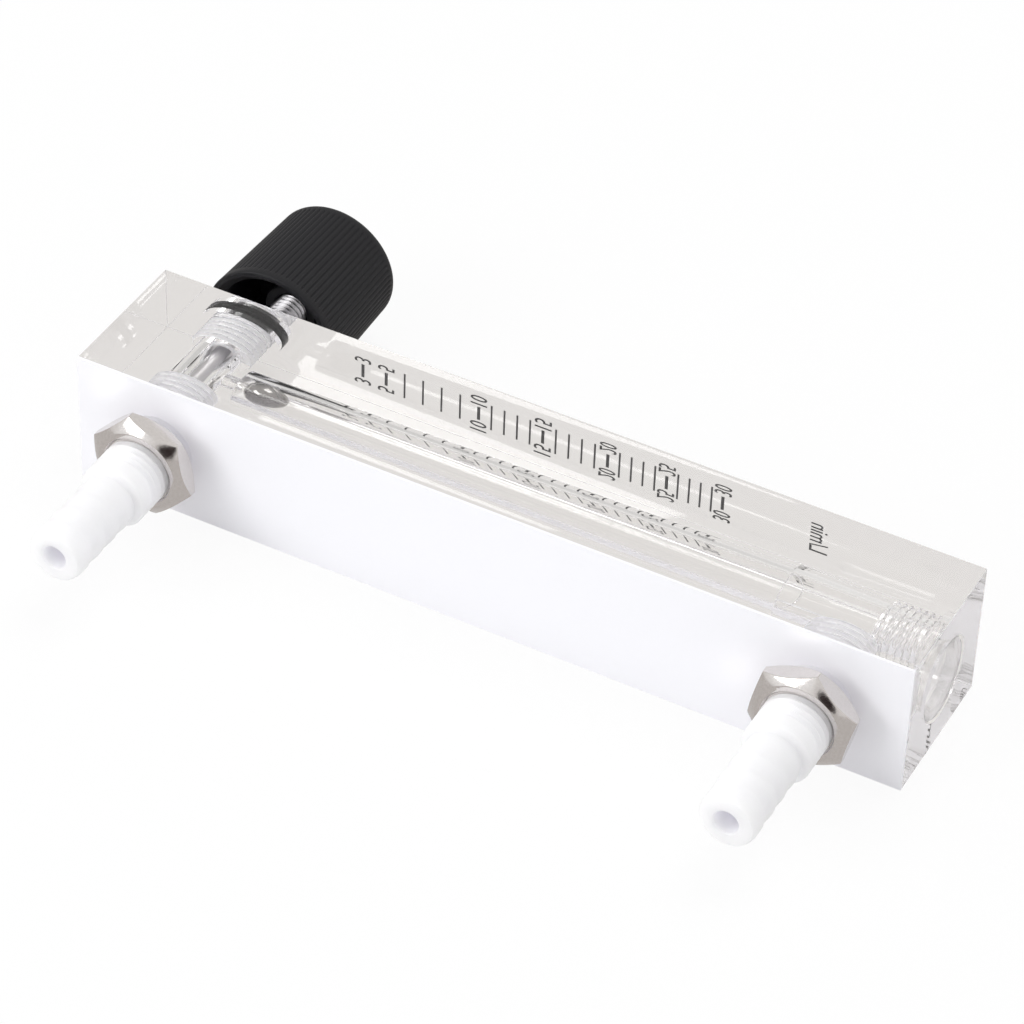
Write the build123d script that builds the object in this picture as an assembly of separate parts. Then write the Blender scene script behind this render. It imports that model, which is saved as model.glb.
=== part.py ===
from build123d import *
import os
from math import cos, pi, radians, sin, sqrt, tan

# Acrylic block rotameter with a needle valve, lying on its side as it rests on a table.
# X runs along the block from the inlet end to the outlet end, -Y is the back with the hose
# fittings, +Y is the front with the scale and the knob, and Z is up from the table.
# Depths named "_y" are counted from the outer surface of the white backing, towards the front.

# Block and backing
block_length = 126.0
block_depth = 22.6
block_height = 21.0
block_edge = 0.25
backing_thickness = 0.4
backing_hole_gap = 0.2

# Hose fittings
port_margin = 13.0
thread_radius = 5.0
thread_gap = 0.05
port_depth = 7.2
fitting_end_gap = 0.2
fitting_bore_radius = 1.75
shank_reach = 12.0
shank_taper = 0.6
barb_root_radius = 3.92
barb_crest_radius = 4.1
barb_start = 14.3
barb_pitch = 3.3
barb_count = 4
barb_rise = 1.2
barb_land = 1.0
tip_radius = 3.5
tip_length = 1.4
tip_bore_chamfer = 0.2

# Lock nuts
nut_across_flats = 14.0
nut_thickness = 4.0
nut_standoff = 1.9
nut_chamfer_radius = 6.1
nut_chamfer_angle = 37.0
nut_hole_chamfer = 0.3
inlet_nut_turn = 44.0
outlet_nut_turn = 18.0

# Metering bore and float
feed_hole_length = 2.75
bore_small_radius = 3.3
bore_large_radius = 4.5
bore_step_margin = 10.0
plug_bore_radius = 5.0
ball_radius = 3.175
ball_gap = 0.1
feed_hole_radius = 1.25

# End plug
plug_wall = 0.4
plug_recess = 0.1
plug_edge = 0.4
plug_head_radius = 6.2
plug_head_length = 2.0
plug_head_gap = 0.05

# Valve bushing and its seal
bushing_reach = 6.6
bushing_head_radius = 7.2
bushing_head_thickness = 2.6
bushing_head_flats = 12.0
bushing_edge = 0.3
bushing_neck_radius = 4.55
chamber_radius = 3.75
seal_pocket_radius = 6.5
seal_pocket_depth = 1.8
bushing_seal_section = 0.87
bushing_seal_radius = 5.5
seal_bore_radius = 3.1
stem_gap = 0.05

# Valve stem
stem_thread_radius = 2.5
travel_in = 1.6
travel_out = 2.4
stop_gap = 0.1
collar_radius = 2.95
collar_length = 2.4
seal_margin = 0.9
groove_radius = 2.15
groove_width = 1.1
stem_seal_section = 0.43
needle_radius = 2.1
needle_angle = 30.0
needle_tip_radius = 0.3
seat_gap = 0.05
stem_flat_depth = 0.7
stem_flat_length = 7.2
stem_socket_depth = 7.5
stem_end_gap = 0.3

# Knob
knob_gap = 6.2
knob_length = 19.8
knob_base_radius = 10.3
knob_top_radius = 9.65
knob_rib_count = 72
knob_rib_depth = 0.28
knob_rib_step = 0.03
knob_base_band = 0.9
knob_top_band = 0.4
knob_top_round = 1.2
knob_base_chamfer = 0.4
skirt_mouth_radius = 8.5
skirt_inner_radius = 8.2
skirt_depth = 11.0
mouth_chamfer = 1.0
boss_radius = 4.2
boss_recess = 6.1
web_count = 3
web_width = 1.9
web_recess = 7.1
web_turn = 90.0

# Places worked out from the sizes
mid_z = block_height / 2
start_x = -block_length / 2
end_x = block_length / 2
inlet_x = start_x + port_margin
outlet_x = end_x - port_margin
front_y = backing_thickness + block_depth
bore_y = front_y / 2
port_end_y = backing_thickness + port_depth
fitting_end_y = port_end_y - fitting_end_gap
bore_start_x = inlet_x + chamber_radius + feed_hole_length
bore_step_x = outlet_x - bore_step_margin
plug_start_x = outlet_x + thread_radius + plug_wall
bushing_end_y = front_y - bushing_reach
pocket_y = front_y - seal_pocket_depth
bushing_top_y = front_y + bushing_head_thickness
stem_seal_y = bushing_end_y + travel_in + seal_margin
collar_start_y = stem_seal_y - collar_length / 2
collar_end_y = stem_seal_y + collar_length / 2
shoulder_y = collar_end_y + travel_out + stop_gap
needle_slope = tan(radians(needle_angle))
seat_lift = (needle_radius - fitting_bore_radius) / needle_slope
needle_end_y = fitting_end_y + seat_gap + seat_lift + travel_in
needle_tip_y = needle_end_y - (needle_radius - needle_tip_radius) / needle_slope
knob_y = front_y + knob_gap
knob_end_y = knob_y + knob_length
stem_end_y = knob_y + boss_recess + stem_socket_depth
flat_start_y = stem_end_y - stem_flat_length
last_barb_y = -barb_start - (barb_count - 1) * barb_pitch
fitting_reach = barb_land + tip_length - last_barb_y
origin_y = (knob_end_y - fitting_reach) / 2


def outline_face(points):
    return make_face(Polyline(*points, close=True))


def turned_y(x, points):
    # points are (radius, y), spun about the line along Y through x at mid height
    return Pos(x, 0, mid_z) * revolve(outline_face(points), axis=Axis.Y)


def turned_x(y, points):
    # points are (x, radius), spun about the line along X through y at mid height
    return Pos(0, y, mid_z) * revolve(outline_face(points), axis=Axis.X)


def rod_y(x, radius, y_low, y_high):
    return turned_y(x, [(0, y_low), (radius, y_low), (radius, y_high), (0, y_high)])


def rod_x(y, radius, x_low, x_high):
    return turned_x(y, [(x_low, 0), (x_low, radius), (x_high, radius), (x_high, 0)])


def ring_y(x, y, centre_radius, section_radius):
    section = Pos(centre_radius, y) * Circle(section_radius)
    return Pos(x, 0, mid_z) * revolve(section, axis=Axis.Y)


def slab(x_low, x_high, y_low, y_high, z_low, z_high):
    size = (x_high - x_low, y_high - y_low, z_high - z_low)
    centre = Pos((x_low + x_high) / 2, (y_low + y_high) / 2, (z_low + z_high) / 2)
    return centre * Box(*size)


def acrylic_block():
    block = slab(start_x, end_x, backing_thickness, front_y, 0, block_height)
    block = chamfer(block.edges(), block_edge)
    for x in (inlet_x, outlet_x):
        block -= rod_y(x, thread_radius, backing_thickness, port_end_y)
    block -= rod_y(inlet_x, chamber_radius, port_end_y, bushing_end_y)
    block -= rod_y(inlet_x, thread_radius, bushing_end_y, front_y)
    block -= rod_y(inlet_x, seal_pocket_radius, pocket_y, front_y)
    block -= metering_bore()
    return block


def metering_bore():
    taper = [(bore_start_x, 0), (bore_start_x, bore_small_radius), (bore_step_x, bore_large_radius)]
    step_x = end_x - plug_recess - plug_head_length
    seat_radius = plug_head_radius + plug_head_gap
    head = [(bore_step_x, plug_bore_radius), (step_x, plug_bore_radius)]
    seat = [(step_x, seat_radius), (end_x, seat_radius), (end_x, 0)]
    bore = turned_x(bore_y, taper + head + seat)
    return bore + rod_x(bore_y, feed_hole_radius, inlet_x, bore_start_x)


def white_backing():
    sheet = slab(start_x, end_x, 0, backing_thickness, 0, block_height)
    for x in (inlet_x, outlet_x):
        sheet -= rod_y(x, thread_radius + backing_hole_gap, 0, backing_thickness)
    return sheet


def fitting(x):
    # One turned nylon piece: threaded shank, low ridges that grip the hose, and a through bore
    shank = thread_radius - thread_gap
    points = [(fitting_bore_radius, fitting_end_y), (shank, fitting_end_y), (shank, -shank_reach)]
    points.append((barb_root_radius, -shank_reach - shank_taper))
    for i in range(barb_count):
        crest_y = -barb_start - i * barb_pitch
        points.append((barb_root_radius, crest_y + barb_rise))
        points.append((barb_crest_radius, crest_y))
    points.append((barb_crest_radius, last_barb_y - barb_land))
    points.append((tip_radius, -fitting_reach))
    points.append((fitting_bore_radius + tip_bore_chamfer, -fitting_reach))
    points.append((fitting_bore_radius, -fitting_reach + tip_bore_chamfer))
    return turned_y(x, points)


def lock_nut(x, turn):
    # Hexagon with both ends turned to a cone, and a chamfer at each end of the thread
    low = -nut_standoff - nut_thickness
    high = -nut_standoff
    corner_radius = nut_across_flats / sqrt(3)
    hexagon = extrude(Rot(0, 0, turn) * RegularPolygon(corner_radius, 6), nut_thickness)
    hexagon = Pos(x, high, mid_z) * Rot(90, 0, 0) * hexagon
    reach = (corner_radius - nut_chamfer_radius) * tan(radians(nut_chamfer_angle))
    hole = thread_radius + thread_gap
    mouth = hole + nut_hole_chamfer
    points = [(hole, low + nut_hole_chamfer), (mouth, low), (nut_chamfer_radius, low)]
    points += [(corner_radius, low + reach), (corner_radius, high - reach)]
    points += [(nut_chamfer_radius, high), (mouth, high), (hole, high - nut_hole_chamfer)]
    return hexagon & turned_y(x, points)


def float_ball():
    return Pos(bore_start_x + ball_gap + ball_radius, bore_y, mid_z) * Sphere(ball_radius)


def end_plug():
    # Threaded body with a flat round head, let into the end of the block
    body = plug_bore_radius - thread_gap
    outer_x = end_x - plug_recess
    step_x = outer_x - plug_head_length
    points = [(plug_start_x, 0), (plug_start_x, body - plug_edge), (plug_start_x + plug_edge, body)]
    points += [(step_x, body), (step_x, plug_head_radius), (outer_x - plug_edge, plug_head_radius)]
    points += [(outer_x, plug_head_radius - plug_edge), (outer_x, 0)]
    return turned_x(bore_y, points)


def valve_bushing():
    # Threaded body in the block, round head with two spanner flats outside it
    body = thread_radius - thread_gap
    head = bushing_head_radius
    bore = stem_thread_radius + stem_gap
    points = [(seal_bore_radius, bushing_end_y), (body - bushing_edge, bushing_end_y)]
    points += [(body, bushing_end_y + bushing_edge), (body, pocket_y)]
    points += [(bushing_neck_radius, pocket_y), (bushing_neck_radius, front_y), (head, front_y)]
    points += [(head, bushing_top_y - bushing_edge), (head - bushing_edge, bushing_top_y)]
    points += [(bore, bushing_top_y), (bore, shoulder_y), (seal_bore_radius, shoulder_y)]
    bushing = turned_y(inlet_x, points)
    half = bushing_head_flats / 2
    for low_z, high_z in ((mid_z - head, mid_z - half), (mid_z + half, mid_z + head)):
        flat_y = front_y + bushing_head_thickness / 2
        bushing -= slab(inlet_x - head, inlet_x + head, flat_y, bushing_top_y, low_z, high_z)
    return bushing


def bushing_o_ring():
    middle_y = front_y - seal_pocket_depth / 2
    return ring_y(inlet_x, middle_y, bushing_seal_radius, bushing_seal_section)


def stem_o_ring():
    middle = (groove_radius + seal_bore_radius) / 2
    return ring_y(inlet_x, stem_seal_y, middle, stem_seal_section)


def valve_stem():
    # Needle, seal collar with its groove, threaded neck and flatted end that takes the knob
    half_groove = groove_width / 2
    points = [(0, needle_tip_y), (needle_tip_radius, needle_tip_y), (needle_radius, needle_end_y)]
    points += [(needle_radius, collar_start_y), (collar_radius, collar_start_y)]
    points += [(collar_radius, stem_seal_y - half_groove), (groove_radius, stem_seal_y - half_groove)]
    points += [(groove_radius, stem_seal_y + half_groove), (collar_radius, stem_seal_y + half_groove)]
    points += [(collar_radius, collar_end_y), (stem_thread_radius, collar_end_y)]
    points += [(stem_thread_radius, stem_end_y), (0, stem_end_y)]
    return turned_y(inlet_x, points) - stem_flat(0)


def stem_flat(gap):
    # The space beyond the flat, from its start to past the stem's end
    low_z = mid_z + stem_thread_radius - stem_flat_depth + gap
    wide = stem_thread_radius * 2
    return slab(inlet_x - wide, inlet_x + wide, flat_start_y, knob_end_y, low_z, low_z + wide)


def knob_radius(y):
    share = (y - knob_y) / knob_length
    return knob_base_radius + (knob_top_radius - knob_base_radius) * share


def ribbed_outline(radius):
    # The grooves are as deep, for the radius, at the top as at the base, so each flank is flat
    step = pi / knob_rib_count
    depth = knob_rib_depth * radius / knob_base_radius
    points = []
    for i in range(2 * knob_rib_count):
        reach = radius - depth * (i % 2)
        points.append((reach * cos(i * step), reach * sin(i * step)))
    return outline_face(points)


def knob_shell():
    # Plain band at the base, tapered stretch with fine ribs, and a rounded crown
    rib_start_y = knob_y + knob_base_chamfer + knob_base_band
    corner_y = knob_end_y - knob_top_round
    rib_end_y = corner_y - knob_top_band
    rim = knob_radius(knob_y) - knob_base_chamfer
    band = [(0, knob_y), (rim, knob_y), (knob_radius(knob_y), knob_y + knob_base_chamfer)]
    band += [(knob_radius(rib_start_y), rib_start_y), (0, rib_start_y)]
    lower = ribbed_outline(knob_radius(rib_start_y) - knob_rib_step)
    upper = ribbed_outline(knob_radius(rib_end_y) - knob_rib_step)
    ribs = loft([lower, Pos(0, 0, rib_end_y - rib_start_y) * upper], ruled=True)
    ribs = Pos(inlet_x, rib_start_y, mid_z) * Rot(-90, 0, 0) * ribs
    return turned_y(inlet_x, band) + ribs + knob_crown(rib_end_y, corner_y)


def knob_crown(start_y, corner_y):
    corner = (knob_radius(corner_y), corner_y)
    top = (corner[0] - knob_top_round, knob_end_y)
    slant = knob_top_round * cos(pi / 4)
    middle = (top[0] + slant, corner_y + slant)
    lines = Polyline(top, (0, knob_end_y), (0, start_y), (knob_radius(start_y), start_y), corner)
    outline = lines + ThreePointArc(corner, middle, top)
    return Pos(inlet_x, 0, mid_z) * revolve(make_face(outline), axis=Axis.Y)


def knob_cavity():
    floor_y = knob_y + skirt_depth
    mouth = skirt_mouth_radius + mouth_chamfer
    outer = [(mouth, knob_y), (skirt_mouth_radius, knob_y + mouth_chamfer)]
    outer.append((skirt_inner_radius, floor_y))
    boss_y = knob_y + boss_recess
    inner = [(boss_radius, floor_y), (boss_radius, boss_y), (0, boss_y), (0, knob_y)]
    cavity = turned_y(inlet_x, outer + inner)
    for i in range(web_count):
        turn = Pos(inlet_x, 0, mid_z) * Rot(0, -web_turn - i * 360 / web_count, 0)
        web = slab(0, knob_base_radius, knob_y + web_recess, floor_y, -web_width / 2, web_width / 2)
        cavity -= turn * web
    return cavity


def control_knob():
    socket = rod_y(inlet_x, stem_thread_radius + stem_gap, knob_y, stem_end_y + stem_end_gap)
    return knob_shell() - knob_cavity() - (socket - stem_flat(stem_gap))


nodes = {
    "acrylic_block": acrylic_block(),
    "white_backing": white_backing(),
    "inlet_fitting": fitting(inlet_x),
    "outlet_fitting": fitting(outlet_x),
    "inlet_nut": lock_nut(inlet_x, inlet_nut_turn),
    "outlet_nut": lock_nut(outlet_x, outlet_nut_turn),
    "float_ball": float_ball(),
    "end_plug": end_plug(),
    "valve_bushing": valve_bushing(),
    "bushing_o_ring": bushing_o_ring(),
    "stem_o_ring": stem_o_ring(),
    "valve_stem": valve_stem(),
    "control_knob": control_knob(),
}

os.makedirs("parts", exist_ok=True)
for name, solid in nodes.items():
    export_step(Pos(0, -origin_y, 0) * solid, f"parts/{name}.step")
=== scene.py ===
from math import ceil, cos, hypot, pi, radians, sin, sqrt, tan, tau

import bmesh
import bpy
from mathutils import Matrix, Quaternion, Vector


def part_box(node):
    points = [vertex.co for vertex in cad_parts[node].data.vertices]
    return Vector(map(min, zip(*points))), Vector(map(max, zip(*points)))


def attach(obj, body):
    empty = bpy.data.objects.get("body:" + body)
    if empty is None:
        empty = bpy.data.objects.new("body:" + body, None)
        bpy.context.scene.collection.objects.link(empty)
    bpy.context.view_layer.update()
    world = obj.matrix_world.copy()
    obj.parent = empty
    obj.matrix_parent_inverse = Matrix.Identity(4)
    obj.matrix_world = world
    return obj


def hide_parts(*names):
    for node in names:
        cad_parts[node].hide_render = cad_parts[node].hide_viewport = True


# Looks of a clear acrylic block rotameter with a needle valve, lying on its side.
# Lengths are in millimetres and become metres when a mesh is made. Depths are counted from
# the outer face of the white backing towards the front, as far as the knob.

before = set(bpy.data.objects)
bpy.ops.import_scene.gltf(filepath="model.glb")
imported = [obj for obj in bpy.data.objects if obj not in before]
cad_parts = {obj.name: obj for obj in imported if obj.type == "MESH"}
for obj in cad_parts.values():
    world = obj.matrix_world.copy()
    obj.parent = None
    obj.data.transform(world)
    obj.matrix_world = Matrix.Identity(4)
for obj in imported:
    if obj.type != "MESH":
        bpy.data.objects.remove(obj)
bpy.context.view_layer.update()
MM = 0.001


def span(node):
    """Lowest and highest corners of a piece of the frame, in millimetres."""
    low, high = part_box(node)
    return low / MM, high / MM


block_low, block_high = span("acrylic_block")
backing_low, backing_high = span("white_backing")
inlet_low, inlet_high = span("inlet_fitting")
outlet_low, outlet_high = span("outlet_fitting")
nut_low, nut_high = span("inlet_nut")
ball_low, ball_high = span("float_ball")
plug_low, plug_high = span("end_plug")
bushing_low, bushing_high = span("valve_bushing")
stem_seal_low, stem_seal_high = span("stem_o_ring")
stem_low, stem_high = span("valve_stem")
knob_low, knob_high = span("control_knob")

BACK_Y = backing_low.y
FRONT_Y = block_high.y
MID_Z = (block_low.z + block_high.z) / 2
INLET_X = (inlet_low.x + inlet_high.x) / 2
OUTLET_X = (outlet_low.x + outlet_high.x) / 2
BORE_Y = (ball_low.y + ball_high.y) / 2

# How far a cutter reaches out of what it cuts
BEYOND = 2.0

# Film, ink and the squeezed seal lie a little inside the acrylic, as they wet its surface
WETTING = 0.03

# Air left between faces that touch without wetting each other
AIR_GAP = 0.05

# Mesh work: points that are welded, edges that stay sharp on worked and on smoothly turned pieces
# in degrees, points around a turned piece, and rings of an eased slope
WELD_DISTANCE = 1e-5
SHARP_ANGLE = 28.0
TURNED_SHARP_ANGLE = 60.0
TURN_STEPS = 96
EASE_STEPS = 5

# Threads: rings for each turn, share of the flank left flat at crest and root, pitch and depth
THREAD_STEPS = 8
THREAD_LAND = 0.1
PORT_PITCH = 1.0
PORT_THREAD_DEPTH = 0.55
STEM_PITCH = 0.8
STEM_THREAD_DEPTH = 0.42

# Fittings' thread behind the backing, and the threads that are sealed in the acrylic
BODY_THREAD_RADIUS = 4.95
SEALED_THREAD_RADIUS = 5.03
SEALED_THREAD_DEPTH = 0.7

# Block
BLOCK_EDGE = 0.04
BLOCK_FLAT_AREA = 30.0
TAPPED_RADIUS = 5.0
PORT_DEPTH = 7.6
CHAMBER_RADIUS = 3.75
POCKET_RADIUS = 6.5
POCKET_DEPTH = 1.8
FEED_RADIUS = 1.25
TAPER_START = 19.5
TAPER_LENGTH = 83.5
TAPER_SMALL_RADIUS = 3.3
TAPER_LARGE_RADIUS = 4.5
PLUG_TAP_START = 116.5
PLUG_SEAT_RADIUS = 6.25
FILM_HOLE_RADIUS = 5.2

# How far the tapped holes' material reaches past their ends and crests, and past their walls
TAPPED_END_MARGIN = 0.1
TAPPED_WALL_MARGIN = 0.02

# End plug
PLUG_HEAD_LENGTH = 2.0
PLUG_HEAD_RADIUS = 6.2
PLUG_EDGE = 0.4

# Fittings, counted outwards from the backing
FITTING_BORE_RADIUS = 1.75
FITTING_THREAD_END = 9.7
THREAD_RUNOUT = 0.1
SHANK_END = 12.0
SHANK_EDGE_LENGTH = 0.15
SHANK_EDGE_DROP = 0.08
SHANK_TAPER = 0.7
BARB_ROOT_RADIUS = 3.92
BARB_CREST_RADIUS = 4.1
BARB_START = 14.3
BARB_PITCH = 3.3
BARB_COUNT = 4
BARB_RISE = 1.2
BARB_LAND = 1.0
TIP_RADIUS = 3.5
TIP_START_MARGIN = 0.2
TIP_ROUND_SHARES = (0.2, 0.4, 0.6, 0.8, 0.95)
TIP_FACE_EDGE = 0.15
TIP_BORE_CHAMFER = 0.2

# Lock nuts
NUT_FLATS = 14.0
NUT_CHAMFER_RADIUS = 6.1
NUT_CHAMFER_ANGLE = 37.0
NUT_HOLE_CHAMFER = 0.3
NUT_EDGE = 0.09
NUT_CONE_MARGIN = 0.4
NUT_FLAT_AREA = 4.0
INLET_NUT_TURN = 44.0
OUTLET_NUT_TURN = 18.0

# Valve bushing
BUSHING_NECK_RADIUS = 4.55
BUSHING_HEAD_RADIUS = 7.2
BUSHING_FLATS = 12.0
FLAT_CUT_MARGIN = 1.0
BUSHING_EDGE = 0.3
SEAL_BORE_RADIUS = 3.1
STEM_HOLE_RADIUS = 2.55
BUSHING_SHOULDER_DEPTH = 22.6

# O-rings: the wet band and the free front of the bushing's, and the rings of a section's arcs
SEAL_CONTACT = 0.9
SEAL_ROUNDING = 0.4
SEAL_FRONT_GAP = 0.005
SEAL_BAND_Y = FRONT_Y - SEAL_CONTACT
SEAL_CORNER_STEPS = 4
STEM_SEAL_STEPS = 28

# Ball: rings from pole to pole, and points around
BALL_RINGS = 40
BALL_STEPS = 80

# Valve stem
STEM_THREAD_RADIUS = 2.5
STEM_END_CHAMFER = 0.4
NEEDLE_RADIUS = 2.1
NEEDLE_TIP_RADIUS = 0.3
NEEDLE_TIP_FACE = 0.6
NEEDLE_TIP_EDGE = 0.15
NEEDLE_LENGTH = 3.118
STEM_COLLAR_RADIUS = 2.95
STEM_COLLAR_LENGTH = 2.4
GROOVE_RADIUS = 2.15
GROOVE_WIDTH = 1.1

# Knob
KNOB_RIBS = 72
KNOB_RIB_STEPS = 8
KNOB_RIB_DEPTH = 0.2
KNOB_RIB_RISE = 0.15
KNOB_RIB_RUNOUT = 0.4
KNOB_TOP_RADIUS = 9.65
KNOB_BASE_CHAMFER = 0.4
KNOB_BASE_BAND = 0.9
KNOB_TOP_ROUND = 1.2
KNOB_TOP_BAND = 0.4
MOUTH_RADIUS = 8.5
MOUTH_CHAMFER = 1.0
SKIRT_INNER_RADIUS = 8.2
SKIRT_DEPTH = 11.0
BOSS_RADIUS = 4.2
BOSS_RECESS = 6.1
BOSS_EDGE = 0.25
SOCKET_END_DEPTH = 43.1
WEB_COUNT = 3
WEB_WIDTH = 1.9
WEB_RECESS = 7.1
WEB_START_TURN = -90

# How far the webs reach into the boss, the skirt and the floor of the hollow
WEB_IN_BOSS = 0.6
WEB_IN_SKIRT = 0.8
WEB_IN_FLOOR = 0.5

# Scale: flow of each numbered mark and its place along the block, between which marks are even
SCALE_MARKS = (
    (3, 32.03), (5, 35.74), (10, 50.35), (15, 60.34), (20, 70.33), (25, 79.3), (30, 87.75),
)
LONG_MARK = (8.5, 0.27)
THICK_MARK = (4.45, 0.46)
NUMERAL_HEIGHT = 2.6
NUMERAL_GAP = 0.75
NUMERAL_WIDTH = 1.55
UNIT_PLACE = 100.8
UNIT_HEIGHT = 2.7
UNIT_WIDTH = 9.5
LETTER_CURVE_STEPS = 3
LETTER_EXTRUDE = 0.5

# Refraction of the acrylic and of the milky plastic, and detail of every finish's noise
ACRYLIC_IOR = 1.49
MILKY_IOR = 1.5
NOISE_DETAIL = 4.0

# Floor: half its width, its place under the block, its finish, and for each kind of ray how much
# of it is plain glow, and in which tone. The greyer, warmer tones in gloss and glass are painted
# floor shade
FLOOR_REACH = 3000.0
FLOOR_GAP = 0.05
FLOOR_COLOUR = (0.9, 0.9, 0.9, 1.0)
FLOOR_ROUGHNESS = 0.8
FLOOR_SEEN = (0.9, (1.0, 1.0, 1.0, 1.0))
FLOOR_SHADE_IN_GLOSS = (0.92, (0.6, 0.575, 0.555, 1.0))
FLOOR_SHADE_IN_GLASS = (0.85, (0.8, 0.78, 0.765, 1.0))

# Surroundings: strength for matt surfaces, and tones in gloss and in glass
WORLD_LIGHT = 0.68
WHITE = (1.0, 1.0, 1.0, 1.0)
GLOSS_TONE = (0.84, 0.825, 0.81, 1.0)
GLASS_TONE = (0.84, 0.83, 0.82, 1.0)

# Soft round patches of the surroundings: direction, inner and outer angle in degrees, and tone
BRIGHT_WINDOW = ((-0.5, -0.72, 0.42), 18.0, 40.0, (1.0, 1.0, 1.0, 1.0))
DARK_OPENING = ((0.41, -0.88, 0.24), 12.0, 19.0, (0.03, 0.02, 0.02, 1.0))
GREY_CORNER = ((-0.66, 0.68, 0.33), 12.0, 34.0, (0.6, 0.59, 0.58, 1.0))

# Lamps: name, place and size in metres, power, and whether gloss shows them
LAMPS = (
    ("left_softbox", (-0.55, -0.66, 0.5), (0.6, 0.45), 3.4, True),
    ("top_softbox", (0.1, 0.35, 0.95), (0.6, 0.6), 3.0, False),
)

# Reflections that light is followed through, so that it comes out of the clear block again
LIGHT_BOUNCES = 24

# Camera, solved from the corners of the block in the photograph, at 1024 x 1024
CAMERA_PLACE = Vector((200.5, -396.3, 394.6))
CAMERA_TARGET = Vector((-1.6, 1.3, 10.5))
CAMERA_ROLL = 2.18
CAMERA_LENS = 152.5
CAMERA_SENSOR = 36.0
CAMERA_NEAR = 0.01


def depth(value):
    """Position along Y of a depth counted from the white backing's outer face."""
    return BACK_Y + value


# Mesh tools

def thread_stations(start, end, radius, groove, pitch):
    """Rings of a right-hand thread: its outer radius, less a groove that winds with the angle."""
    count = ceil(abs(end - start) / pitch * THREAD_STEPS)

    def wall(along):
        def radius_at(angle):
            turn = (along / pitch - angle / tau) % 1.0
            flank = (1.0 - abs(2.0 * turn - 1.0) - THREAD_LAND) / (1.0 - 2.0 * THREAD_LAND)
            return radius - groove * min(max(flank, 0.0), 1.0)
        return radius_at

    places = [start + (end - start) * k / count for k in range(count + 1)]
    return [(along, wall(along)) for along in places]


def arc_stations(centre_along, centre_radius, radius, start, end, count):
    """Rings along an arc of the section, its angles in degrees from the radial direction."""
    angles = [radians(start + (end - start) * k / count) for k in range(count + 1)]
    return [(centre_along + radius * sin(a), centre_radius + radius * cos(a)) for a in angles]


def eased_stations(points):
    """Rings through (along, radius) points, the radius easing in and out between them."""
    stations = [points[0]]
    for (start, first), (end, last) in zip(points, points[1:]):
        for k in range(1, EASE_STEPS + 1):
            share = k / EASE_STEPS
            ease = (1.0 - cos(pi * share)) / 2
            stations.append((start + (end - start) * share, first + (last - first) * ease))
    return stations


def turned(stations, axis, centre, steps=TURN_STEPS, closed=False):
    """Surface turned about a line along X or Y: (along, radius) rings, joined in order."""
    mesh = bmesh.new()
    rings = []
    for along, radius in stations:
        ring = []
        on_axis = not callable(radius) and radius == 0.0
        for k in range(1 if on_axis else steps):
            angle = tau * k / steps
            reach = radius(angle) if callable(radius) else radius
            if axis == "Y":
                place = (centre[0] + reach * sin(angle), along, centre[1] + reach * cos(angle))
            else:
                place = (along, centre[0] + reach * cos(angle), centre[1] + reach * sin(angle))
            ring.append(mesh.verts.new(place))
        rings.append(ring)
    pairs = list(zip(rings, rings[1:]))
    if closed:
        pairs.append((rings[-1], rings[0]))
    for first, second in pairs:
        if len(first) == len(second) == 1:
            continue
        for k in range(steps):
            corners = [first[k % len(first)], first[(k + 1) % len(first)]]
            corners += [second[(k + 1) % len(second)], second[k % len(second)]]
            mesh.faces.new(dict.fromkeys(corners))
    return mesh


def slab(low, high):
    """Plain box between two corners, as a mesh to cut with or to cut."""
    mesh = bmesh.new()
    bmesh.ops.create_cube(mesh, size=1.0)
    for vert in mesh.verts:
        vert.co = Vector([low[i] + (high[i] - low[i]) * (vert.co[i] + 0.5) for i in range(3)])
    return mesh


def made(name, mesh, sharp=SHARP_ANGLE):
    """Turns a mesh in millimetres into an object in metres, smooth but for its sharp edges."""
    bmesh.ops.remove_doubles(mesh, verts=mesh.verts, dist=WELD_DISTANCE)
    bmesh.ops.recalc_face_normals(mesh, faces=mesh.faces)
    mark_sharp(mesh, sharp)
    bmesh.ops.scale(mesh, vec=(MM, MM, MM), verts=mesh.verts)
    data = bpy.data.meshes.new(name)
    mesh.to_mesh(data)
    mesh.free()
    piece = bpy.data.objects.new(name, data)
    bpy.context.scene.collection.objects.link(piece)
    return piece


def mark_sharp(mesh, angle):
    """Smooth shading all over, but not across edges that turn by more than the angle."""
    for face in mesh.faces:
        face.smooth = True
    for edge in mesh.edges:
        edge.smooth = len(edge.link_faces) == 2 and edge.calc_face_angle() < radians(angle)


def carve(piece, cutter, operation="DIFFERENCE"):
    """Cuts, joins or meets a piece with another closed piece, which is then gone."""
    modifier = piece.modifiers.new("carve", "BOOLEAN")
    modifier.operation = operation
    modifier.solver = "EXACT"
    modifier.object = cutter
    view = bpy.context.evaluated_depsgraph_get()
    data = bpy.data.meshes.new_from_object(piece.evaluated_get(view))
    piece.modifiers.clear()
    old = piece.data
    piece.data = data
    data.name = old.name
    bpy.data.meshes.remove(old)
    bpy.data.objects.remove(cutter)
    mesh = bmesh.new()
    mesh.from_mesh(data)
    mark_sharp(mesh, SHARP_ANGLE)
    mesh.to_mesh(data)
    mesh.free()


def flatten(piece, area):
    """Flat shading for faces of at least this area, so that their small edges don't tint them."""
    mesh = bmesh.new()
    mesh.from_mesh(piece.data)
    for face in mesh.faces:
        face.smooth = face.calc_area() < area * MM * MM
    mesh.to_mesh(piece.data)
    mesh.free()


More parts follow.
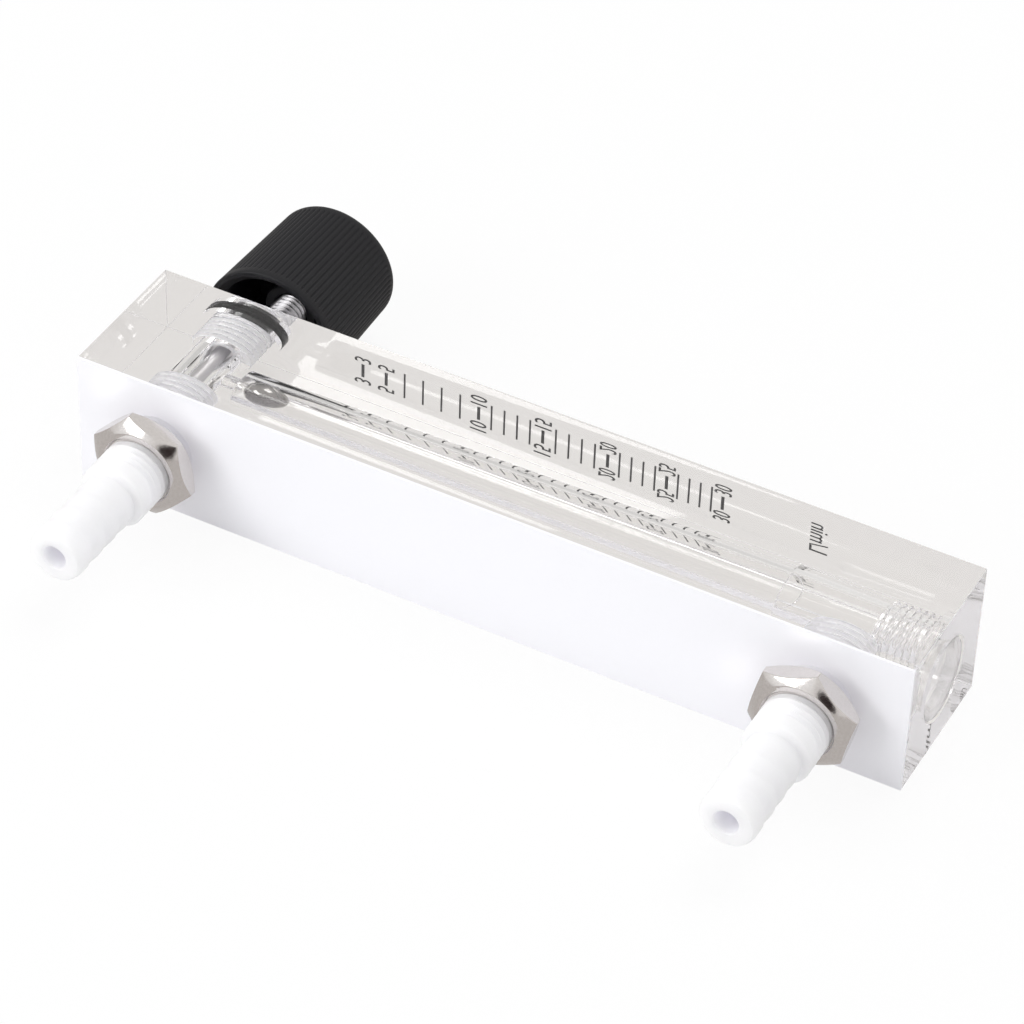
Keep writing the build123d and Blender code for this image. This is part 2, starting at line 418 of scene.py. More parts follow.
def round_edges(piece, width):
    """Small rounded edges where a piece turns sharply."""
    mesh = bmesh.new()
    mesh.from_mesh(piece.data)
    limit = radians(SHARP_ANGLE)
    edges = [e for e in mesh.edges if len(e.link_faces) == 2 and e.calc_face_angle() > limit]
    bmesh.ops.bevel(mesh, geom=edges, offset=width * MM, segments=2, affect="EDGES", profile=0.5)
    mark_sharp(mesh, SHARP_ANGLE)
    mesh.to_mesh(piece.data)
    mesh.free()


def dress(piece, material, body, node=None):
    """Gives a piece its material, the body it rides on and the piece of the frame it stands for."""
    piece.data.materials.clear()
    piece.data.materials.append(material)
    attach(piece, body)
    if node:
        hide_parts(node)
    return piece


# Materials

def surface(name, colour, roughness, grain, bump=0.0, spread=0.0, metallic=0.0):
    """Base of each finish: noise of a given grain varies roughness, tone and height."""
    material = bpy.data.materials.new(name)
    material.use_nodes = True
    nodes, links = material.node_tree.nodes, material.node_tree.links
    shader = nodes["Principled BSDF"]
    shader.inputs["Metallic"].default_value = metallic
    place = nodes.new("ShaderNodeTexCoord")
    noise = nodes.new("ShaderNodeTexNoise")
    noise.inputs["Scale"].default_value = 1.0 / (grain * MM)
    noise.inputs["Detail"].default_value = NOISE_DETAIL
    links.new(place.outputs["Object"], noise.inputs["Vector"])
    rough = nodes.new("ShaderNodeMapRange")
    rough.inputs["To Min"].default_value = roughness[0]
    rough.inputs["To Max"].default_value = roughness[1]
    links.new(noise.outputs["Fac"], rough.inputs["Value"])
    links.new(rough.outputs["Result"], shader.inputs["Roughness"])
    tone = nodes.new("ShaderNodeMix")
    tone.data_type = "RGBA"
    tone.inputs["A"].default_value = (*[c * (1.0 - spread) for c in colour], 1.0)
    tone.inputs["B"].default_value = (*[min(c * (1.0 + spread), 1.0) for c in colour], 1.0)
    links.new(noise.outputs["Fac"], tone.inputs["Factor"])
    links.new(tone.outputs["Result"], shader.inputs["Base Color"])
    if bump:
        height = nodes.new("ShaderNodeBump")
        height.inputs["Strength"].default_value = 1.0
        height.inputs["Distance"].default_value = bump * MM
        links.new(noise.outputs["Fac"], height.inputs["Height"])
        links.new(height.outputs["Normal"], shader.inputs["Normal"])
    return material, shader


def clear_acrylic():
    material, shader = surface("clear_acrylic", (0.975, 0.97, 0.963), (0.0, 0.02), 6.0, spread=0.01)
    shader.inputs["Transmission Weight"].default_value = 1.0
    shader.inputs["IOR"].default_value = ACRYLIC_IOR
    return material


def plug_acrylic():
    material, shader = surface(
        "plug_acrylic", (0.98, 0.975, 0.98), (0.05, 0.12), 0.5, bump=0.001, spread=0.01)
    shader.inputs["Transmission Weight"].default_value = 0.88
    shader.inputs["IOR"].default_value = ACRYLIC_IOR
    return material


def tapped_acrylic():
    material, shader = surface(
        "tapped_acrylic", (0.93, 0.93, 0.94), (0.4, 0.55), 0.3, bump=0.002, spread=0.01)
    shader.inputs["Transmission Weight"].default_value = 0.25
    shader.inputs["IOR"].default_value = ACRYLIC_IOR
    return material


def white_film():
    material, shader = surface(
        "white_film", (0.94, 0.94, 0.975), (0.35, 0.45), 0.8, bump=0.002, spread=0.01)
    shader.inputs["Specular IOR Level"].default_value = 0.4
    return material


def white_nylon():
    material, shader = surface(
        "white_nylon", (0.91, 0.905, 0.94), (0.32, 0.45), 0.5, bump=0.004, spread=0.015)
    shader.inputs["Subsurface Weight"].default_value = 1.0
    shader.inputs["Subsurface Radius"].default_value = (1.0, 0.98, 1.0)
    shader.inputs["Subsurface Scale"].default_value = 3.0 * MM
    return material


def metal(name, colour, roughness, grain, bump, spread):
    return surface(name, colour, roughness, grain, bump, spread, metallic=1.0)[0]


def nickel_plate():
    return metal("nickel_plate", (0.7, 0.67, 0.655), (0.08, 0.2), 0.35, bump=0.006, spread=0.09)


def turned_steel():
    # Colour a little darker than plain steel: partly the metal's tone, partly painted shade of the
    # stem inside the knob
    return metal("turned_steel", (0.64, 0.63, 0.645), (0.28, 0.4), 0.25, bump=0.003, spread=0.06)


def polished_steel():
    return metal("polished_steel", (0.33, 0.32, 0.315), (0.1, 0.16), 1.5, bump=0.0, spread=0.05)


def black_rubber():
    material, shader = surface(
        "black_rubber", (0.012, 0.012, 0.012), (0.2, 0.34), 0.4, bump=0.02, spread=0.2)
    shader.inputs["Specular IOR Level"].default_value = 0.15
    return material


def black_plastic():
    material, shader = surface(
        "black_plastic", (0.011, 0.011, 0.013), (0.42, 0.55), 0.12, bump=0.006, spread=0.2)
    shader.inputs["Specular IOR Level"].default_value = 0.25
    return material


def milky_plastic():
    material, shader = surface(
        "milky_plastic", (0.79, 0.79, 0.82), (0.2, 0.35), 0.6, bump=0.002, spread=0.02)
    shader.inputs["Transmission Weight"].default_value = 0.15
    shader.inputs["IOR"].default_value = MILKY_IOR
    return material


def scale_ink():
    ink_black = (0.012, 0.012, 0.013)
    return surface("scale_ink", ink_black, (0.45, 0.6), 0.2, bump=0.001, spread=0.2)[0]


acrylic = clear_acrylic()
plug_plastic = plug_acrylic()
tapped = tapped_acrylic()
film = white_film()
nylon = white_nylon()
nickel = nickel_plate()
steel = turned_steel()
ball_steel = polished_steel()
rubber = black_rubber()
knob_plastic = black_plastic()
milky = milky_plastic()
ink = scale_ink()


# Block and what is fixed to it

def build_block():
    """Clear block with all its holes. Its tapped holes and edges are rougher and whiter."""
    mesh = slab(block_low, block_high)
    bmesh.ops.bevel(
        mesh, geom=mesh.edges, offset=BLOCK_EDGE, segments=1, affect="EDGES", profile=0.5)
    block = made("acrylic_body", mesh)
    carve(block, made("inlet_cutter", inlet_hollow()))
    carve(block, made("outlet_cutter", outlet_hollow()))
    carve(block, made("bore_cutter", metering_hollow()))
    flatten(block, BLOCK_FLAT_AREA)
    dress(block, acrylic, "root", "acrylic_block")
    block.data.materials.append(tapped)
    for face in block.data.polygons:
        if is_machined(face.center / MM):
            face.material_index = 1
    return block


def is_machined(place):
    """Whether a place on the block lies on a tapped hole of the ports or a scraped edge."""
    depths = [min(place[i] - block_low[i], block_high[i] - place[i]) for i in range(3)]
    if sum(value < BLOCK_EDGE for value in depths) > 1:
        return True
    low = TAPPED_RADIUS - PORT_THREAD_DEPTH - TAPPED_END_MARGIN
    high = TAPPED_RADIUS + TAPPED_WALL_MARGIN
    in_inlet_thread = low < hypot(place.x - INLET_X, place.z - MID_Z) < high
    in_outlet = hypot(place.x - OUTLET_X, place.z - MID_Z) < high
    if BACK_Y < place.y < depth(PORT_DEPTH) + TAPPED_END_MARGIN and (in_inlet_thread or in_outlet):
        return True
    bushing_hole = bushing_low.y - TAPPED_END_MARGIN
    return bushing_hole < place.y < FRONT_Y - POCKET_DEPTH and in_inlet_thread


def port_thread(start, end, radius=TAPPED_RADIUS):
    """Thread of a tapped hole, or of a shank when it is given another radius."""
    return thread_stations(start, end, radius, PORT_THREAD_DEPTH, PORT_PITCH)


def sealed_thread(start, end):
    """Thread whose crests press into the tapped wall, so that they show through the acrylic."""
    return thread_stations(start, end, SEALED_THREAD_RADIUS, SEALED_THREAD_DEPTH, PORT_PITCH)


def inlet_hollow():
    """Port from the back, needle chamber, tapped hole and O-ring pocket, all on one line."""
    inner = depth(PORT_DEPTH)
    bushing = bushing_low.y
    pocket = FRONT_Y - POCKET_DEPTH
    stations = [(BACK_Y - BEYOND, 0.0)] + port_thread(BACK_Y - BEYOND, inner)
    stations += [(inner, CHAMBER_RADIUS), (bushing, CHAMBER_RADIUS)]
    stations += port_thread(bushing, pocket)
    stations += [(pocket, POCKET_RADIUS), (SEAL_BAND_Y, POCKET_RADIUS)]
    stations += [(FRONT_Y + BEYOND, POCKET_RADIUS), (FRONT_Y + BEYOND, 0.0)]
    return turned(stations, "Y", (INLET_X, MID_Z))


def outlet_hollow():
    """Tapped port from the back as far as the metering bore's side."""
    inner = depth(PORT_DEPTH)
    stations = [(BACK_Y - BEYOND, 0.0)] + port_thread(BACK_Y - BEYOND, inner) + [(inner, 0.0)]
    return turned(stations, "Y", (OUTLET_X, MID_Z))


def metering_hollow():
    """Feed hole, taper bore, wider bore, tapped end and the seat of the plug's head."""
    start = block_low.x + TAPER_START
    end = start + TAPER_LENGTH
    seat = plug_high.x - PLUG_HEAD_LENGTH
    out = block_high.x + BEYOND
    stations = [(INLET_X, 0.0), (INLET_X, FEED_RADIUS), (start, FEED_RADIUS)]
    stations += [(start, TAPER_SMALL_RADIUS), (end, TAPER_LARGE_RADIUS), (end, TAPPED_RADIUS)]
    stations += port_thread(block_low.x + PLUG_TAP_START, seat)
    stations += [(seat, PLUG_SEAT_RADIUS), (out, PLUG_SEAT_RADIUS), (out, 0.0)]
    return turned(stations, "X", (BORE_Y, MID_Z))


def build_plug():
    """Threaded plug with a flat round head that closes the end of the bore."""
    step = plug_high.x - PLUG_HEAD_LENGTH
    stations = [(plug_low.x, 0.0), (plug_low.x, SEALED_THREAD_RADIUS - PORT_THREAD_DEPTH)]
    stations += sealed_thread(plug_low.x, step)
    stations += [(step + AIR_GAP, PLUG_HEAD_RADIUS), (plug_high.x - PLUG_EDGE, PLUG_HEAD_RADIUS)]
    stations += [(plug_high.x, PLUG_HEAD_RADIUS - PLUG_EDGE), (plug_high.x, 0.0)]
    plug = made("end_plug_turned", turned(stations, "X", (BORE_Y, MID_Z)))
    return dress(plug, plug_plastic, "root", "end_plug")


def build_backing():
    """White film over the back face, with a hole for each fitting."""
    high = (backing_high.x, backing_high.y + WETTING, backing_high.z)
    sheet = made("white_back_film", slab(backing_low, high))
    low_y, high_y = BACK_Y - BEYOND, BACK_Y + BEYOND
    wall = FILM_HOLE_RADIUS
    hole = [(low_y, 0.0), (low_y, wall), (high_y, wall), (high_y, 0.0)]
    for x in (INLET_X, OUTLET_X):
        carve(sheet, made("film_hole", turned(hole, "Y", (x, MID_Z))))
    return dress(sheet, film, "root", "white_backing")


def build_fitting(name, node, x, inner_end):
    """Hose fitting: threaded shank, plain collar, low soft ridges, rounded end, and a bore."""
    thread_end, shank_end = depth(-FITTING_THREAD_END), depth(-SHANK_END)
    stations = [(inner_end, FITTING_BORE_RADIUS)]
    stations += [(inner_end, SEALED_THREAD_RADIUS - PORT_THREAD_DEPTH)]
    stations += sealed_thread(inner_end, BACK_Y)
    stations += port_thread(BACK_Y, thread_end, BODY_THREAD_RADIUS)
    stations += [(thread_end - THREAD_RUNOUT, BODY_THREAD_RADIUS)]
    stations += [(shank_end + SHANK_EDGE_LENGTH, BODY_THREAD_RADIUS)]
    outline = [(shank_end, BODY_THREAD_RADIUS - SHANK_EDGE_DROP)]
    outline += [(shank_end - SHANK_TAPER, BARB_ROOT_RADIUS)]
    for k in range(BARB_COUNT):
        crest = depth(-BARB_START - k * BARB_PITCH)
        outline += [(crest + BARB_RISE, BARB_ROOT_RADIUS), (crest, BARB_CREST_RADIUS)]
    stations += eased_stations(outline)
    tip = inlet_low.y
    land_end = crest - BARB_LAND
    round_size = BARB_CREST_RADIUS - TIP_RADIUS
    stations += [(land_end + TIP_START_MARGIN, BARB_CREST_RADIUS)]
    for share in TIP_ROUND_SHARES:
        along = land_end + (tip - land_end) * share
        stations.append((along, TIP_RADIUS + round_size * sqrt(1.0 - share ** 2)))
    stations += [(tip, TIP_RADIUS - TIP_FACE_EDGE), (tip, FITTING_BORE_RADIUS + TIP_BORE_CHAMFER)]
    stations += [(tip + TIP_BORE_CHAMFER, FITTING_BORE_RADIUS)]
    fitting = made(name, turned(stations, "Y", (x, MID_Z), closed=True))
    return dress(fitting, nylon, "root", node)


def build_nut(name, node, x, turn):
    """Hexagon with both ends turned to a cone, softened edges and a tapped hole."""
    low, high = nut_low.y, nut_high.y
    corner = NUT_FLATS / sqrt(3)
    mesh = bmesh.new()
    bmesh.ops.create_cone(
        mesh, segments=6, radius1=corner, radius2=corner, depth=high - low, cap_ends=True)
    corner_at = min((v.co.copy() for v in mesh.verts), key=lambda co: abs(co.y) - co.x)
    from_corner = corner_at.xy.angle_signed(Vector((1, 0)))
    corner_first = Matrix.Rotation(radians(turn) + from_corner, 4, "Z")
    along_y = Matrix.Rotation(radians(90), 4, "X")
    mesh.transform(Matrix.Translation((x, (low + high) / 2, MID_Z)) @ along_y @ corner_first)
    nut = made(name, mesh)
    past = corner + NUT_CONE_MARGIN
    rise = (past - NUT_CHAMFER_RADIUS) * tan(radians(NUT_CHAMFER_ANGLE))
    stations = [(low, 0.0), (low, NUT_CHAMFER_RADIUS), (low + rise, past)]
    stations += [(high - rise, past), (high, NUT_CHAMFER_RADIUS), (high, 0.0)]
    carve(nut, made("nut_cone", turned(stations, "Y", (x, MID_Z))), "INTERSECT")
    round_edges(nut, NUT_EDGE)
    radius = TAPPED_RADIUS + AIR_GAP
    mouth = radius + NUT_HOLE_CHAMFER
    thread_low, thread_high = low + NUT_HOLE_CHAMFER, high - NUT_HOLE_CHAMFER
    stations = [(low - BEYOND, 0.0), (low - BEYOND, mouth + BEYOND), (thread_low, radius)]
    stations += port_thread(thread_low, thread_high, radius)
    stations += [(high + BEYOND, mouth + BEYOND), (high + BEYOND, 0.0)]
    carve(nut, made("nut_hole", turned(stations, "Y", (x, MID_Z))))
    flatten(nut, NUT_FLAT_AREA)
    return dress(nut, nickel, "root", node)


def build_bushing():
    """Bushing with its thread in the block, a neck for the seal and a head with two flats."""
    low, high = bushing_low.y + AIR_GAP, bushing_high.y
    pocket = FRONT_Y - POCKET_DEPTH
    head, head_low = BUSHING_HEAD_RADIUS, FRONT_Y + AIR_GAP
    shoulder = depth(BUSHING_SHOULDER_DEPTH)
    stations = [(low, SEAL_BORE_RADIUS), (low, SEALED_THREAD_RADIUS - PORT_THREAD_DEPTH)]
    stations += sealed_thread(low, pocket)
    stations += [(pocket, BUSHING_NECK_RADIUS), (head_low, BUSHING_NECK_RADIUS)]
    stations += [(head_low, head), (high - BUSHING_EDGE, head), (high, head - BUSHING_EDGE)]
    stations += [(high, STEM_HOLE_RADIUS)]
    stations += thread_stations(high, shoulder, STEM_HOLE_RADIUS, STEM_THREAD_DEPTH, STEM_PITCH)
    stations += [(shoulder, SEAL_BORE_RADIUS)]
    bushing = made("bushing_turned", turned(stations, "Y", (INLET_X, MID_Z), closed=True))
    reach = head + FLAT_CUT_MARGIN
    for side in (-1, 1):
        ends = sorted((MID_Z + side * BUSHING_FLATS / 2, MID_Z + side * reach))
        low_corner = (INLET_X - reach, (FRONT_Y + high) / 2, ends[0])
        high_corner = (INLET_X + reach, high + FLAT_CUT_MARGIN, ends[1])
        carve(bushing, made("spanner_flat", slab(low_corner, high_corner)))
    return dress(bushing, milky, "root", "valve_bushing")


def build_bushing_seal():
    """O-ring squeezed flat by the bushing's head. It wets the pocket's wall near the front."""
    inner, wall = BUSHING_NECK_RADIUS + AIR_GAP, POCKET_RADIUS
    low, high = FRONT_Y - POCKET_DEPTH + AIR_GAP, FRONT_Y - SEAL_FRONT_GAP
    edge, count = SEAL_ROUNDING, SEAL_CORNER_STEPS
    stations = arc_stations(low + edge, inner + edge, edge, 180, 270, count)
    stations += arc_stations(low + edge, wall - AIR_GAP - edge, edge, -90, 0, count)
    stations += [(SEAL_BAND_Y, wall - AIR_GAP), (SEAL_BAND_Y + AIR_GAP, wall + WETTING)]
    stations += [(high, wall + WETTING), (high, wall - edge)]
    stations += arc_stations(high - edge, inner + edge, edge, 90, 180, count)
    mesh = turned(stations, "Y", (INLET_X, MID_Z), closed=True)
    ring = made("bushing_seal", mesh, sharp=TURNED_SHARP_ANGLE)
    return dress(ring, rubber, "root", "bushing_o_ring")


def build_stem_seal():
    """Round O-ring in the groove of the stem."""
    section = (stem_seal_high.y - stem_seal_low.y) / 2
    middle = (stem_seal_high.x - stem_seal_low.x) / 2 - section
    centre = (stem_seal_low.y + stem_seal_high.y) / 2
    stations = arc_stations(centre, middle, section, 0, 360, STEM_SEAL_STEPS)[:-1]
    mesh = turned(stations, "Y", (INLET_X, MID_Z), closed=True)
    ring = made("stem_seal_ring", mesh, sharp=TURNED_SHARP_ANGLE)
    return dress(ring, rubber, "stem_seal", "stem_o_ring")


# Scale

def mark_place(value):
    """Position along X of a flow value, from the numbered marks on each side of it."""
    for (low, low_x), (high, high_x) in zip(SCALE_MARKS, SCALE_MARKS[1:]):
        if value <= high:
            return block_low.x + low_x + (high_x - low_x) * (value - low) / (high - low)
    return block_low.x + SCALE_MARKS[-1][1]


def add_mark(mesh, x, size):
    """One stroke of the scale across the front face."""
    length, width = size
    low = (x - width / 2, FRONT_Y - WETTING, MID_Z - length / 2)
    high = (x + width / 2, FRONT_Y + WETTING / 2, MID_Z + length / 2)
    part = slab(low, high)
    data = bpy.data.meshes.new("mark")
    part.to_mesh(data)
    part.free()
    mesh.from_mesh(data)
    bpy.data.meshes.remove(data)


def add_words(mesh, words, x, z, height, width):
    """Flat characters whose up is +X, and which read along +Z from z over the given width."""
    curve = bpy.data.curves.new("words", "FONT")
    curve.body = words
    curve.extrude = LETTER_EXTRUDE
    curve.resolution_u = LETTER_CURVE_STEPS
    holder = bpy.data.objects.new("words", curve)
    bpy.context.scene.collection.objects.link(holder)
    view = bpy.context.evaluated_depsgraph_get()
    data = bpy.data.meshes.new_from_object(holder.evaluated_get(view))
    bpy.data.objects.remove(holder)
    low = min(v.co.x for v in data.vertices)
    high = max(v.co.x for v in data.vertices)
    top = max(v.co.y for v in data.vertices)
    for vert in data.vertices:
        up = x + vert.co.y / top * height
        front = FRONT_Y + WETTING / 2 if vert.co.z > 0 else FRONT_Y - WETTING
        vert.co = (up, front, z + (vert.co.x - low) / (high - low) * width)
    mesh.from_mesh(data)
    bpy.data.meshes.remove(data)


def build_scale():
    """Print on the front face: strokes, some with their number on both sides, and the unit."""
    mesh = bmesh.new()
    numbered = [value for value, _ in SCALE_MARKS]
    for value in [numbered[0]] + list(range(numbered[1], numbered[-1] + 1)):
        x = mark_place(value)
        if value not in numbered:
            add_mark(mesh, x, LONG_MARK)
            continue
        add_mark(mesh, x, THICK_MARK)
        width = NUMERAL_WIDTH * len(str(value))
        reach = THICK_MARK[0] / 2 + NUMERAL_GAP
        foot = x - NUMERAL_HEIGHT / 2
        add_words(mesh, str(value), foot, MID_Z + reach, NUMERAL_HEIGHT, width)
        add_words(mesh, str(value), foot, MID_Z - reach - width, NUMERAL_HEIGHT, width)
    unit_x = block_low.x + UNIT_PLACE
    add_words(mesh, "L/min", unit_x, MID_Z - UNIT_WIDTH / 2, UNIT_HEIGHT, UNIT_WIDTH)
    return dress(made("flow_scale_print", mesh), ink, "root")


# Float, valve stem and knob

def build_ball():
    radius = (ball_high.x - ball_low.x) / 2
    centre = (ball_low.x + ball_high.x) / 2
    stations = arc_stations(centre, 0.0, radius, -90, 90, BALL_RINGS)
    stations[0] = (centre - radius, 0.0)
    stations[-1] = (centre + radius, 0.0)
    mesh = turned(stations, "X", (BORE_Y, MID_Z), steps=BALL_STEPS)
    ball = made("steel_float", mesh, sharp=TURNED_SHARP_ANGLE)
    return dress(ball, ball_steel, "float", "float_ball")


def build_stem():
    """Needle, seal collar with its groove, and the threaded neck that reaches into the knob."""
    seal = (stem_seal_low.y + stem_seal_high.y) / 2
    half, groove = STEM_COLLAR_LENGTH / 2, GROOVE_WIDTH / 2
    tip, end = stem_low.y, stem_high.y
    core = STEM_THREAD_RADIUS - STEM_THREAD_DEPTH
    stations = [(tip, 0.0), (tip, NEEDLE_TIP_RADIUS * NEEDLE_TIP_FACE)]
    stations += [(tip + NEEDLE_TIP_EDGE, NEEDLE_TIP_RADIUS)]
    stations += [(tip + NEEDLE_LENGTH, NEEDLE_RADIUS), (seal - half, NEEDLE_RADIUS)]
    stations += [(seal - half, STEM_COLLAR_RADIUS), (seal - groove, STEM_COLLAR_RADIUS)]
    stations += [(seal - groove, GROOVE_RADIUS), (seal + groove, GROOVE_RADIUS)]
    stations += [(seal + groove, STEM_COLLAR_RADIUS), (seal + half, STEM_COLLAR_RADIUS)]
    stations += [(seal + half, core)]
    thread_end = end - STEM_END_CHAMFER
    stations += thread_stations(
        seal + half, thread_end, STEM_THREAD_RADIUS, STEM_THREAD_DEPTH, STEM_PITCH)
    stations += [(end, core), (end, 0.0)]
    stem = made("valve_stem_turned", turned(stations, "Y", (INLET_X, MID_Z)))
    return dress(stem, steel, "valve", "valve_stem")


def knob_skin(along):
    """Radius of the knob's tapered outside, over its ribs."""
    base_radius = (knob_high.z - knob_low.z) / 2
    share = (along - knob_low.y) / (knob_high.y - knob_low.y)
    return base_radius + (KNOB_TOP_RADIUS - base_radius) * share


def ribbed(along):
    """Ring of the ribbed stretch: one ridge after another, with a round valley between them."""
    def radius_at(angle):
        return knob_skin(along) - KNOB_RIB_DEPTH * (1.0 - abs(cos(angle * KNOB_RIBS / 2)))
    return along, radius_at


def knob_outside():
    """Rim, ribbed side between two plain bands, rounded corner and flat front."""
    base, end = knob_low.y, knob_high.y
    rim = knob_skin(base) - KNOB_BASE_CHAMFER
    rib_start = base + KNOB_BASE_CHAMFER + KNOB_BASE_BAND
    corner = end - KNOB_TOP_ROUND
    rib_end = corner - KNOB_TOP_BAND
    stations = [(base, MOUTH_RADIUS + MOUTH_CHAMFER), (base, rim)]
    stations += arc_stations(base + KNOB_BASE_CHAMFER, rim, KNOB_BASE_CHAMFER, -60, 0, 3)
    stations += [(rib_start, knob_skin(rib_start)), ribbed(rib_start + KNOB_RIB_RISE)]
    stations += [ribbed(rib_end - KNOB_RIB_RUNOUT), (rib_end, knob_skin(rib_end))]
    stations += arc_stations(corner, knob_skin(corner) - KNOB_TOP_ROUND, KNOB_TOP_ROUND, 0, 90, 8)
    return stations + [(end, 0.0)]


def knob_inside():
    """Stem socket in the boss, and the deep ring-shaped hollow between the boss and the skirt."""
    socket_end = depth(SOCKET_END_DEPTH)
    boss, floor = knob_low.y + BOSS_RECESS, knob_low.y + SKIRT_DEPTH
    stations = [(socket_end, 0.0), (socket_end, STEM_HOLE_RADIUS)]
    stations += [(boss + BOSS_EDGE, STEM_HOLE_RADIUS), (boss, STEM_HOLE_RADIUS + BOSS_EDGE)]
    stations += [(boss, BOSS_RADIUS - BOSS_EDGE), (boss + BOSS_EDGE, BOSS_RADIUS)]
    stations += [(floor, BOSS_RADIUS), (floor, SKIRT_INNER_RADIUS)]
    return stations + [(knob_low.y + MOUTH_CHAMFER, MOUTH_RADIUS)]


def build_knob():
    """Hollow ribbed knob, with webs that hold its boss."""
    stations = knob_outside() + knob_inside()
    steps = KNOB_RIBS * KNOB_RIB_STEPS
    knob = made("ribbed_knob", turned(stations, "Y", (INLET_X, MID_Z), steps=steps, closed=True))
    floor = knob_low.y + SKIRT_DEPTH
    web_low = (BOSS_RADIUS - WEB_IN_BOSS, knob_low.y + WEB_RECESS, -WEB_WIDTH / 2)
    web_high = (SKIRT_INNER_RADIUS + WEB_IN_SKIRT, floor + WEB_IN_FLOOR, WEB_WIDTH / 2)
    for k in range(WEB_COUNT):
        web = slab(web_low, web_high)
        turn = Matrix.Rotation(radians(WEB_START_TURN - k * 360 / WEB_COUNT), 4, "Y")
        web.transform(Matrix.Translation((INLET_X, 0, MID_Z)) @ turn)
        carve(knob, made("knob_web", web), "UNION")
    return dress(knob, knob_plastic, "valve", "control_knob")


# Studio

def ray_share(nodes, links, kind, share):
    """A factor of share for rays of one kind, and of nothing for the rest."""
    path = nodes.new("ShaderNodeLightPath")
    scaled = nodes.new("ShaderNodeMath")
    scaled.operation = "MULTIPLY"
    scaled.inputs[1].default_value = share
    links.new(path.outputs[kind], scaled.inputs[0])
    return scaled.outputs["Value"]


def mixed(nodes, links, factor, first, second):
    """Mix of two shaders, from the first at a factor of 0 to the second at 1."""
    mix = nodes.new("ShaderNodeMixShader")
    links.new(factor, mix.inputs["Fac"])
    links.new(first, mix.inputs[1])
    links.new(second, mix.inputs[2])
    return mix.outputs["Shader"]


def glow(nodes, kind, colour, strength=1.0):
    """Emission or background of one colour."""
    light = nodes.new(kind)
    light.inputs["Color"].default_value = colour
    light.inputs["Strength"].default_value = strength
    return light


def build_floor():
    """White floor that keeps a soft shadow. Gloss and glass see its glow greyer and warmer, as
    painted shade.
    """
    mesh = bmesh.new()
    bmesh.ops.create_grid(mesh, x_segments=1, y_segments=1, size=FLOOR_REACH)
    bmesh.ops.translate(mesh, verts=mesh.verts, vec=(0, 0, block_low.z - FLOOR_GAP))
    floor = made("studio_floor", mesh)
    material = bpy.data.materials.new("floor_white")
    material.use_nodes = True
    nodes, links = material.node_tree.nodes, material.node_tree.links
    shader = nodes["Principled BSDF"]
    shader.inputs["Base Color"].default_value = FLOOR_COLOUR
    shader.inputs["Roughness"].default_value = FLOOR_ROUGHNESS
    mix = shader.outputs["BSDF"]
    # The glow that gloss and glass see is toned below white: painted shade of the floor around the
    # block
    kinds = {
        "Is Glossy Ray": FLOOR_SHADE_IN_GLOSS,
        "Is Transmission Ray": FLOOR_SHADE_IN_GLASS,
        "Is Camera Ray": FLOOR_SEEN,
    }
    for kind, (share, tone) in kinds.items():
        light = glow(nodes, "ShaderNodeEmission", tone)
        factor = ray_share(nodes, links, kind, share)
        mix = mixed(nodes, links, factor, mix, light.outputs["Emission"])
    links.new(mix, nodes["Material Output"].inputs["Surface"])
    floor.data.materials.append(material)


def add_patch(nodes, links, direction, mix_before, patch):
    """Mixes a round soft patch, in one fixed direction, into the tone of the surroundings."""
    toward, inner, outer, colour = patch
    dot = nodes.new("ShaderNodeVectorMath")
    dot.operation = "DOT_PRODUCT"
    dot.inputs[1].default_value = Vector(toward).normalized()
    links.new(direction, dot.inputs[0])
    soft = nodes.new("ShaderNodeMapRange")
    soft.interpolation_type = "SMOOTHSTEP"
    soft.inputs["From Min"].default_value = cos(radians(outer))
    soft.inputs["From Max"].default_value = cos(radians(inner))
    links.new(dot.outputs["Value"], soft.inputs["Value"])
    mix = nodes.new("ShaderNodeMix")
    mix.data_type = "RGBA"
    mix.inputs["B"].default_value = colour
    links.new(mix_before, mix.inputs["A"])
    links.new(soft.outputs["Result"], mix.inputs["Factor"])
    return mix.outputs["Result"]


def tent(nodes, links, tone, patches):
    """Surroundings of one tone with soft patches, as gloss or glass shows them."""
    direction = nodes.new("ShaderNodeTexCoord").outputs["Generated"]
    plain = nodes.new("ShaderNodeRGB")
    plain.outputs["Color"].default_value = tone
    colour = plain.outputs["Color"]
    for patch in patches:
        colour = add_patch(nodes, links, direction, colour, patch)
    light = glow(nodes, "ShaderNodeBackground", tone)
    links.new(colour, light.inputs["Color"])
    return light


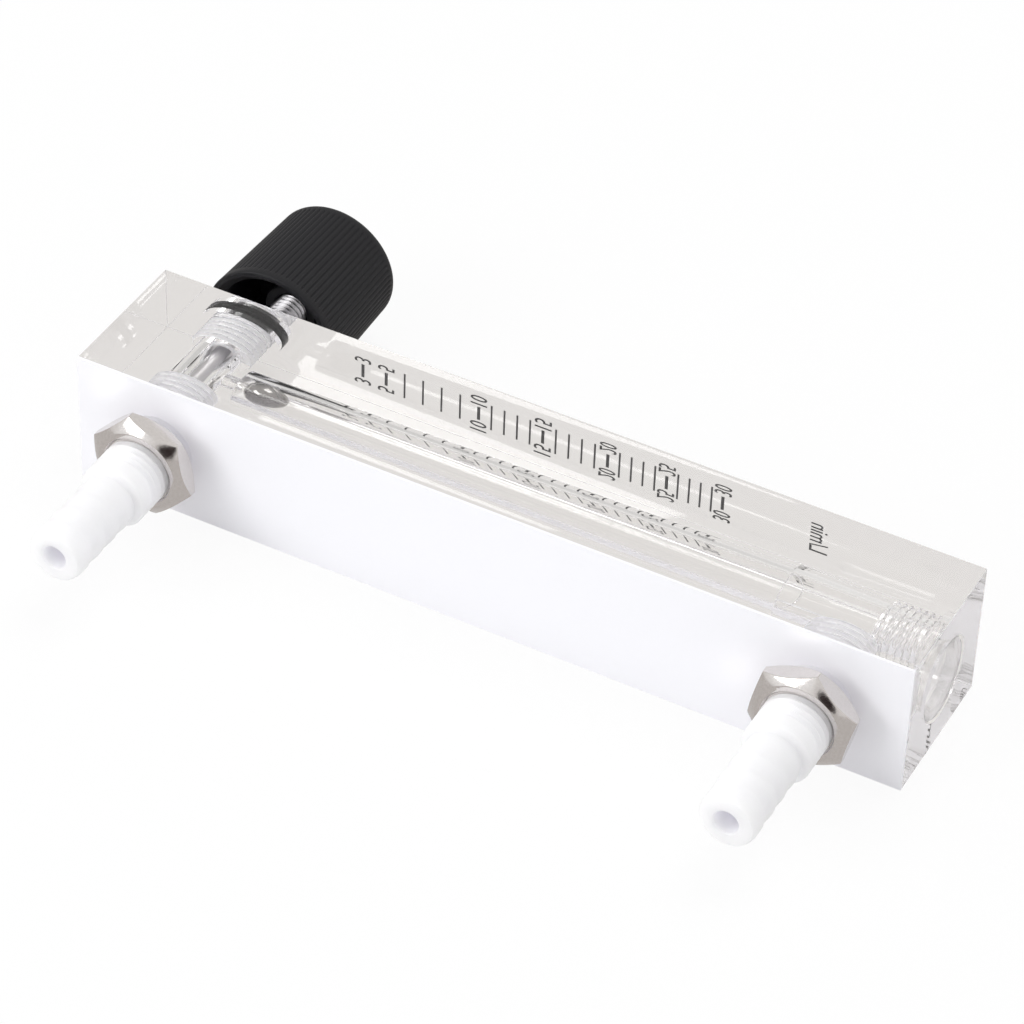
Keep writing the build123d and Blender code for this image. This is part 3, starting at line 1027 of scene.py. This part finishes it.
def build_world():
    """Even light for matt surfaces, white behind the object, and a tent for gloss and glass."""
    world = bpy.data.worlds.new("studio")
    bpy.context.scene.world = world
    world.use_nodes = True
    nodes, links = world.node_tree.nodes, world.node_tree.links
    mix = glow(nodes, "ShaderNodeBackground", WHITE, WORLD_LIGHT).outputs["Background"]
    in_gloss = (BRIGHT_WINDOW, DARK_OPENING, GREY_CORNER)
    in_glass = (BRIGHT_WINDOW, GREY_CORNER)
    kinds = {
        "Is Glossy Ray": tent(nodes, links, GLOSS_TONE, in_gloss),
        "Is Transmission Ray": tent(nodes, links, GLASS_TONE, in_glass),
        "Is Camera Ray": glow(nodes, "ShaderNodeBackground", WHITE),
    }
    for kind, light in kinds.items():
        share = ray_share(nodes, links, kind, 1.0)
        mix = mixed(nodes, links, share, mix, light.outputs["Background"])
    links.new(mix, nodes["World Output"].inputs["Surface"])


def build_lamp(name, place, size, power, mirrored):
    """Rectangular lamp that points at the object's middle."""
    data = bpy.data.lights.new(name, "AREA")
    data.shape = "RECTANGLE"
    data.size, data.size_y = size
    data.energy = power
    lamp = bpy.data.objects.new(name, data)
    bpy.context.scene.collection.objects.link(lamp)
    lamp.location = place
    lamp.visible_glossy = mirrored
    lamp.rotation_mode = "QUATERNION"
    lamp.rotation_quaternion = (-Vector(place)).to_track_quat("-Z", "Y")


def build_camera():
    """Camera at the photograph's angle."""
    data = bpy.data.cameras.new("photo_view")
    data.lens = CAMERA_LENS
    data.sensor_width = CAMERA_SENSOR
    data.clip_start = CAMERA_NEAR
    camera = bpy.data.objects.new("photo_view", data)
    bpy.context.scene.collection.objects.link(camera)
    camera.location = CAMERA_PLACE * MM
    camera.rotation_mode = "QUATERNION"
    aim = (CAMERA_TARGET - CAMERA_PLACE).to_track_quat("-Z", "Y")
    camera.rotation_quaternion = aim @ Quaternion((0, 0, 1), radians(CAMERA_ROLL))
    bpy.context.scene.camera = camera


build_camera()
build_world()
build_floor()
for lamp in LAMPS:
    build_lamp(*lamp)

build_block()
build_backing()
build_plug()
build_fitting("inlet_hose_fitting", "inlet_fitting", INLET_X, inlet_high.y)
build_fitting("outlet_hose_fitting", "outlet_fitting", OUTLET_X, outlet_high.y)
build_nut("inlet_lock_nut", "inlet_nut", INLET_X, INLET_NUT_TURN)
build_nut("outlet_lock_nut", "outlet_nut", OUTLET_X, OUTLET_NUT_TURN)
build_bushing()
build_bushing_seal()
build_stem_seal()
build_scale()
build_ball()
build_stem()
build_knob()

bpy.context.scene.view_settings.view_transform = "Standard"

# Without the filter on glossy paths, what is seen through the clear block keeps its brightness
light_paths = bpy.context.scene.cycles
light_paths.max_bounces = LIGHT_BOUNCES
light_paths.diffuse_bounces = LIGHT_BOUNCES
light_paths.glossy_bounces = LIGHT_BOUNCES
light_paths.transmission_bounces = LIGHT_BOUNCES
light_paths.blur_glossy = 0.0
